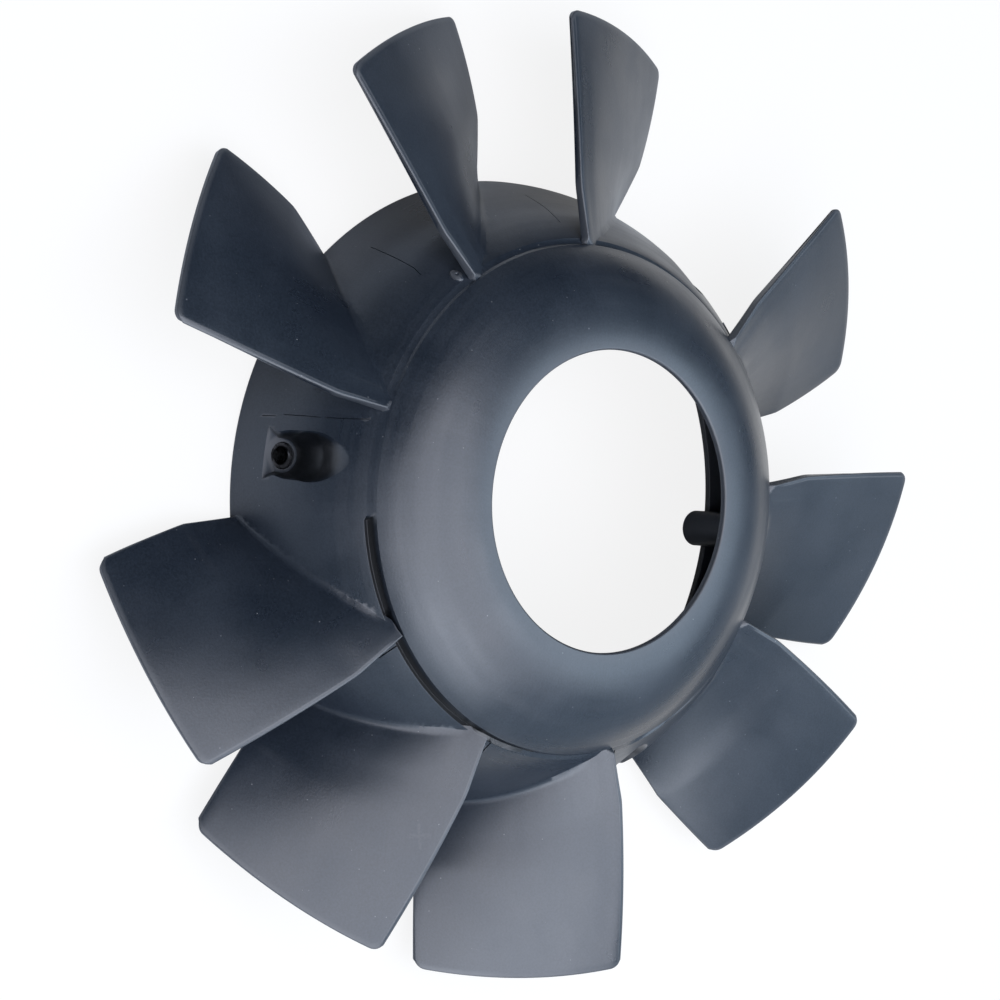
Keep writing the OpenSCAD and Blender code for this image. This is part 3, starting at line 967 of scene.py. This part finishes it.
def scratches(tree, place, grain, marks):
    """The marks so far, with every scratch added."""
    for start, stop, half_width in SCRATCHES:
        fine = ramp_value(tree, grain, *SCRATCH_SHOWS)
        line = scratch(tree, place, start, stop, half_width)
        marks = math_node(tree, "MAXIMUM", marks, math_node(tree, "MULTIPLY", line, fine))
    return marks


def dust(tree, place):
    cells = node(tree, "TexVoronoi", None, {"Vector": place, "Scale": DUST_SCALE})
    pick = node(tree, "SeparateColor", "Red", {"Color": cells["Color"]})
    size = ramp_value(tree, pick, DUST_FROM, 1.0, 0.0, DUST_SIZE, False)
    return math_node(tree, "LESS_THAN", cells["Distance"], size)


widest = 2 * DUST_SIZE / DUST_SCALE / MM
print(len(SCRATCHES), "scratches, and specks up to", round(widest, 2), "mm wide")

# %% [markdown]
# The same noises then change the roughness and the bump, so that no two places shine the same:
# clouds are duller, rubs and scratches too, and the skin sways slightly between them. The sway and
# the grain are two bumps in a row, because they have very different depths.

# %% The plastic
DARK_SKIN, PALE_SKIN = (0.0065, 0.0105, 0.018), (0.021, 0.0285, 0.041)
# The pale of wear and scratches also paints a highlight on sharp edges; the near-black paints shade
# in the pockets and the groove.
DUST, RUBBED_AND_HIGHLIT, HOLLOW_SHADE = (0.15, 0.155, 0.165), (0.060, 0.064, 0.072), (0.003, 0.004, 0.006)
CLOUD_TONE, CLOUD_SHARE = (0.3, 0.72), 0.4
GRAIN_TONE, RUB_TONE = (0.3, 0.7, 0, 0.75, False), (0.4, 0.8, 0, 0.2)
CLOUD_ROUGH, RUB_ROUGH, MARK_ROUGH = (0.3, 0.7, 0.27, 0.38), (0.35, 0.7, -0.02, 0.045), 0.12
SUNK_SHOWS = (0.05, 0.5)
SWAY_DEPTH, GRAIN_DEPTH = 0.15, 0.03
PLASTIC_IOR, PLASTIC_SPECULAR = 1.58, 0.8


def skin_colour(tree, cloud, grain, up_rub, on_hub):
    tone = math_node(tree, "MULTIPLY", ramp_value(tree, cloud, *CLOUD_TONE), CLOUD_SHARE)
    tone = math_node(tree, "ADD", tone, ramp_value(tree, grain, *GRAIN_TONE))
    drawn = math_node(tree, "MULTIPLY", ramp_value(tree, up_rub, *RUB_TONE), on_hub)
    return colour_mix(tree, math_node(tree, "ADD", tone, drawn), DARK_SKIN, PALE_SKIN)


def skin_roughness(tree, cloud, round_rub, on_hub, marks):
    rubbed = math_node(tree, "MULTIPLY", ramp_value(tree, round_rub, *RUB_ROUGH), on_hub)
    rough = math_node(tree, "ADD", ramp_value(tree, cloud, *CLOUD_ROUGH), rubbed)
    return math_node(tree, "ADD", rough, math_node(tree, "MULTIPLY", marks, MARK_ROUGH))


def plastic():
    mat, tree, shader = node_material("satin_black_plastic")
    place = node(tree, "TexCoord", "Object", {})
    cloud, grain, sway = (noise(tree, place, *sizes) for sizes in (CLOUD, GRAIN, SWAY))
    round_rub, up_rub, on_hub = rubs(tree, place)

    colour = skin_colour(tree, cloud, grain, up_rub, on_hub)
    # Painted highlight and wear: sharp edges mix towards the pale colour.
    edge = worn_and_highlit_edges(tree, cloud)
    colour = colour_mix(tree, edge, colour, RUBBED_AND_HIGHLIT)
    marks = scratches(tree, place, grain, edge)
    colour = colour_mix(tree, marks, colour, RUBBED_AND_HIGHLIT)
    colour = colour_mix(tree, dust(tree, place), colour, DUST)
    # Painted shade: the deeper a point lies in a pocket, and all through the groove, the nearer the
    # plastic goes to black.
    sunk = node(tree, "Attribute", "Fac", {}, attribute_name="pocket_depth")
    colour = colour_mix(tree, ramp_value(tree, sunk, *SUNK_SHOWS), colour, HOLLOW_SHADE)
    tree.links.new(colour, shader.inputs["Base Color"])
    rough = skin_roughness(tree, cloud, round_rub, on_hub, marks)
    tree.links.new(rough, shader.inputs["Roughness"])

    wide = node(tree, "Bump", "Normal", {"Height": sway, "Distance": SWAY_DEPTH * MM})
    fine = {"Height": grain, "Distance": GRAIN_DEPTH * MM, "Normal": wide}
    tree.links.new(node(tree, "Bump", "Normal", fine), shader.inputs["Normal"])
    shader.inputs["IOR"].default_value = PLASTIC_IOR
    shader.inputs["Specular IOR Level"].default_value = PLASTIC_SPECULAR
    return mat


satin = plastic()
hub.data.materials.clear()
hub.data.materials.append(satin)
for face in hub.data.polygons:
    face.material_index = 0
print("plastic:", len(satin.node_tree.nodes), "nodes")

# %% [markdown]
# The three bushes are turned steel rings, pressed into the pockets. In the photograph the one that
# shows is nearly black with a wet shine. They are the CAD's own solids, and only their finish is
# new: a dark metal whose turned rings and blots of oil show in its roughness.

# %% The bushes' oiled steel
BLOT, TURNED_RINGS, RING_DEPTH = (260, 4), ((60, 60, 2600), 2), 0.02
BLOT_TONE, BLOT_ROUGH, RING_ROUGH = (0.35, 0.65), (0.3, 0.7, 0.14, 0.32), (0.3, 0.7, 0, 0.08)
DARK_STEEL, PALE_STEEL = (0.030, 0.031, 0.034), (0.12, 0.12, 0.125)


def oiled_steel():
    mat, tree, shader = node_material("dark_oiled_steel")
    place = node(tree, "TexCoord", "Object", {})
    blot = noise(tree, place, *BLOT)
    rings = stretched_noise(tree, place, *TURNED_RINGS)
    colour = colour_mix(tree, ramp_value(tree, blot, *BLOT_TONE), DARK_STEEL, PALE_STEEL)
    tree.links.new(colour, shader.inputs["Base Color"])
    rough = math_node(tree, "ADD", ramp_value(tree, blot, *BLOT_ROUGH),
                      ramp_value(tree, rings, *RING_ROUGH))
    tree.links.new(rough, shader.inputs["Roughness"])
    bump = node(tree, "Bump", "Normal", {"Height": rings, "Distance": RING_DEPTH * MM})
    tree.links.new(bump, shader.inputs["Normal"])
    shader.inputs["Metallic"].default_value = 1.0
    return mat


steel = oiled_steel()
for name in ("bush_1", "bush_2", "bush_3"):
    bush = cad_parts[name]
    bush.data.materials.clear()
    bush.data.materials.append(steel)
    print("oiled steel on", name)
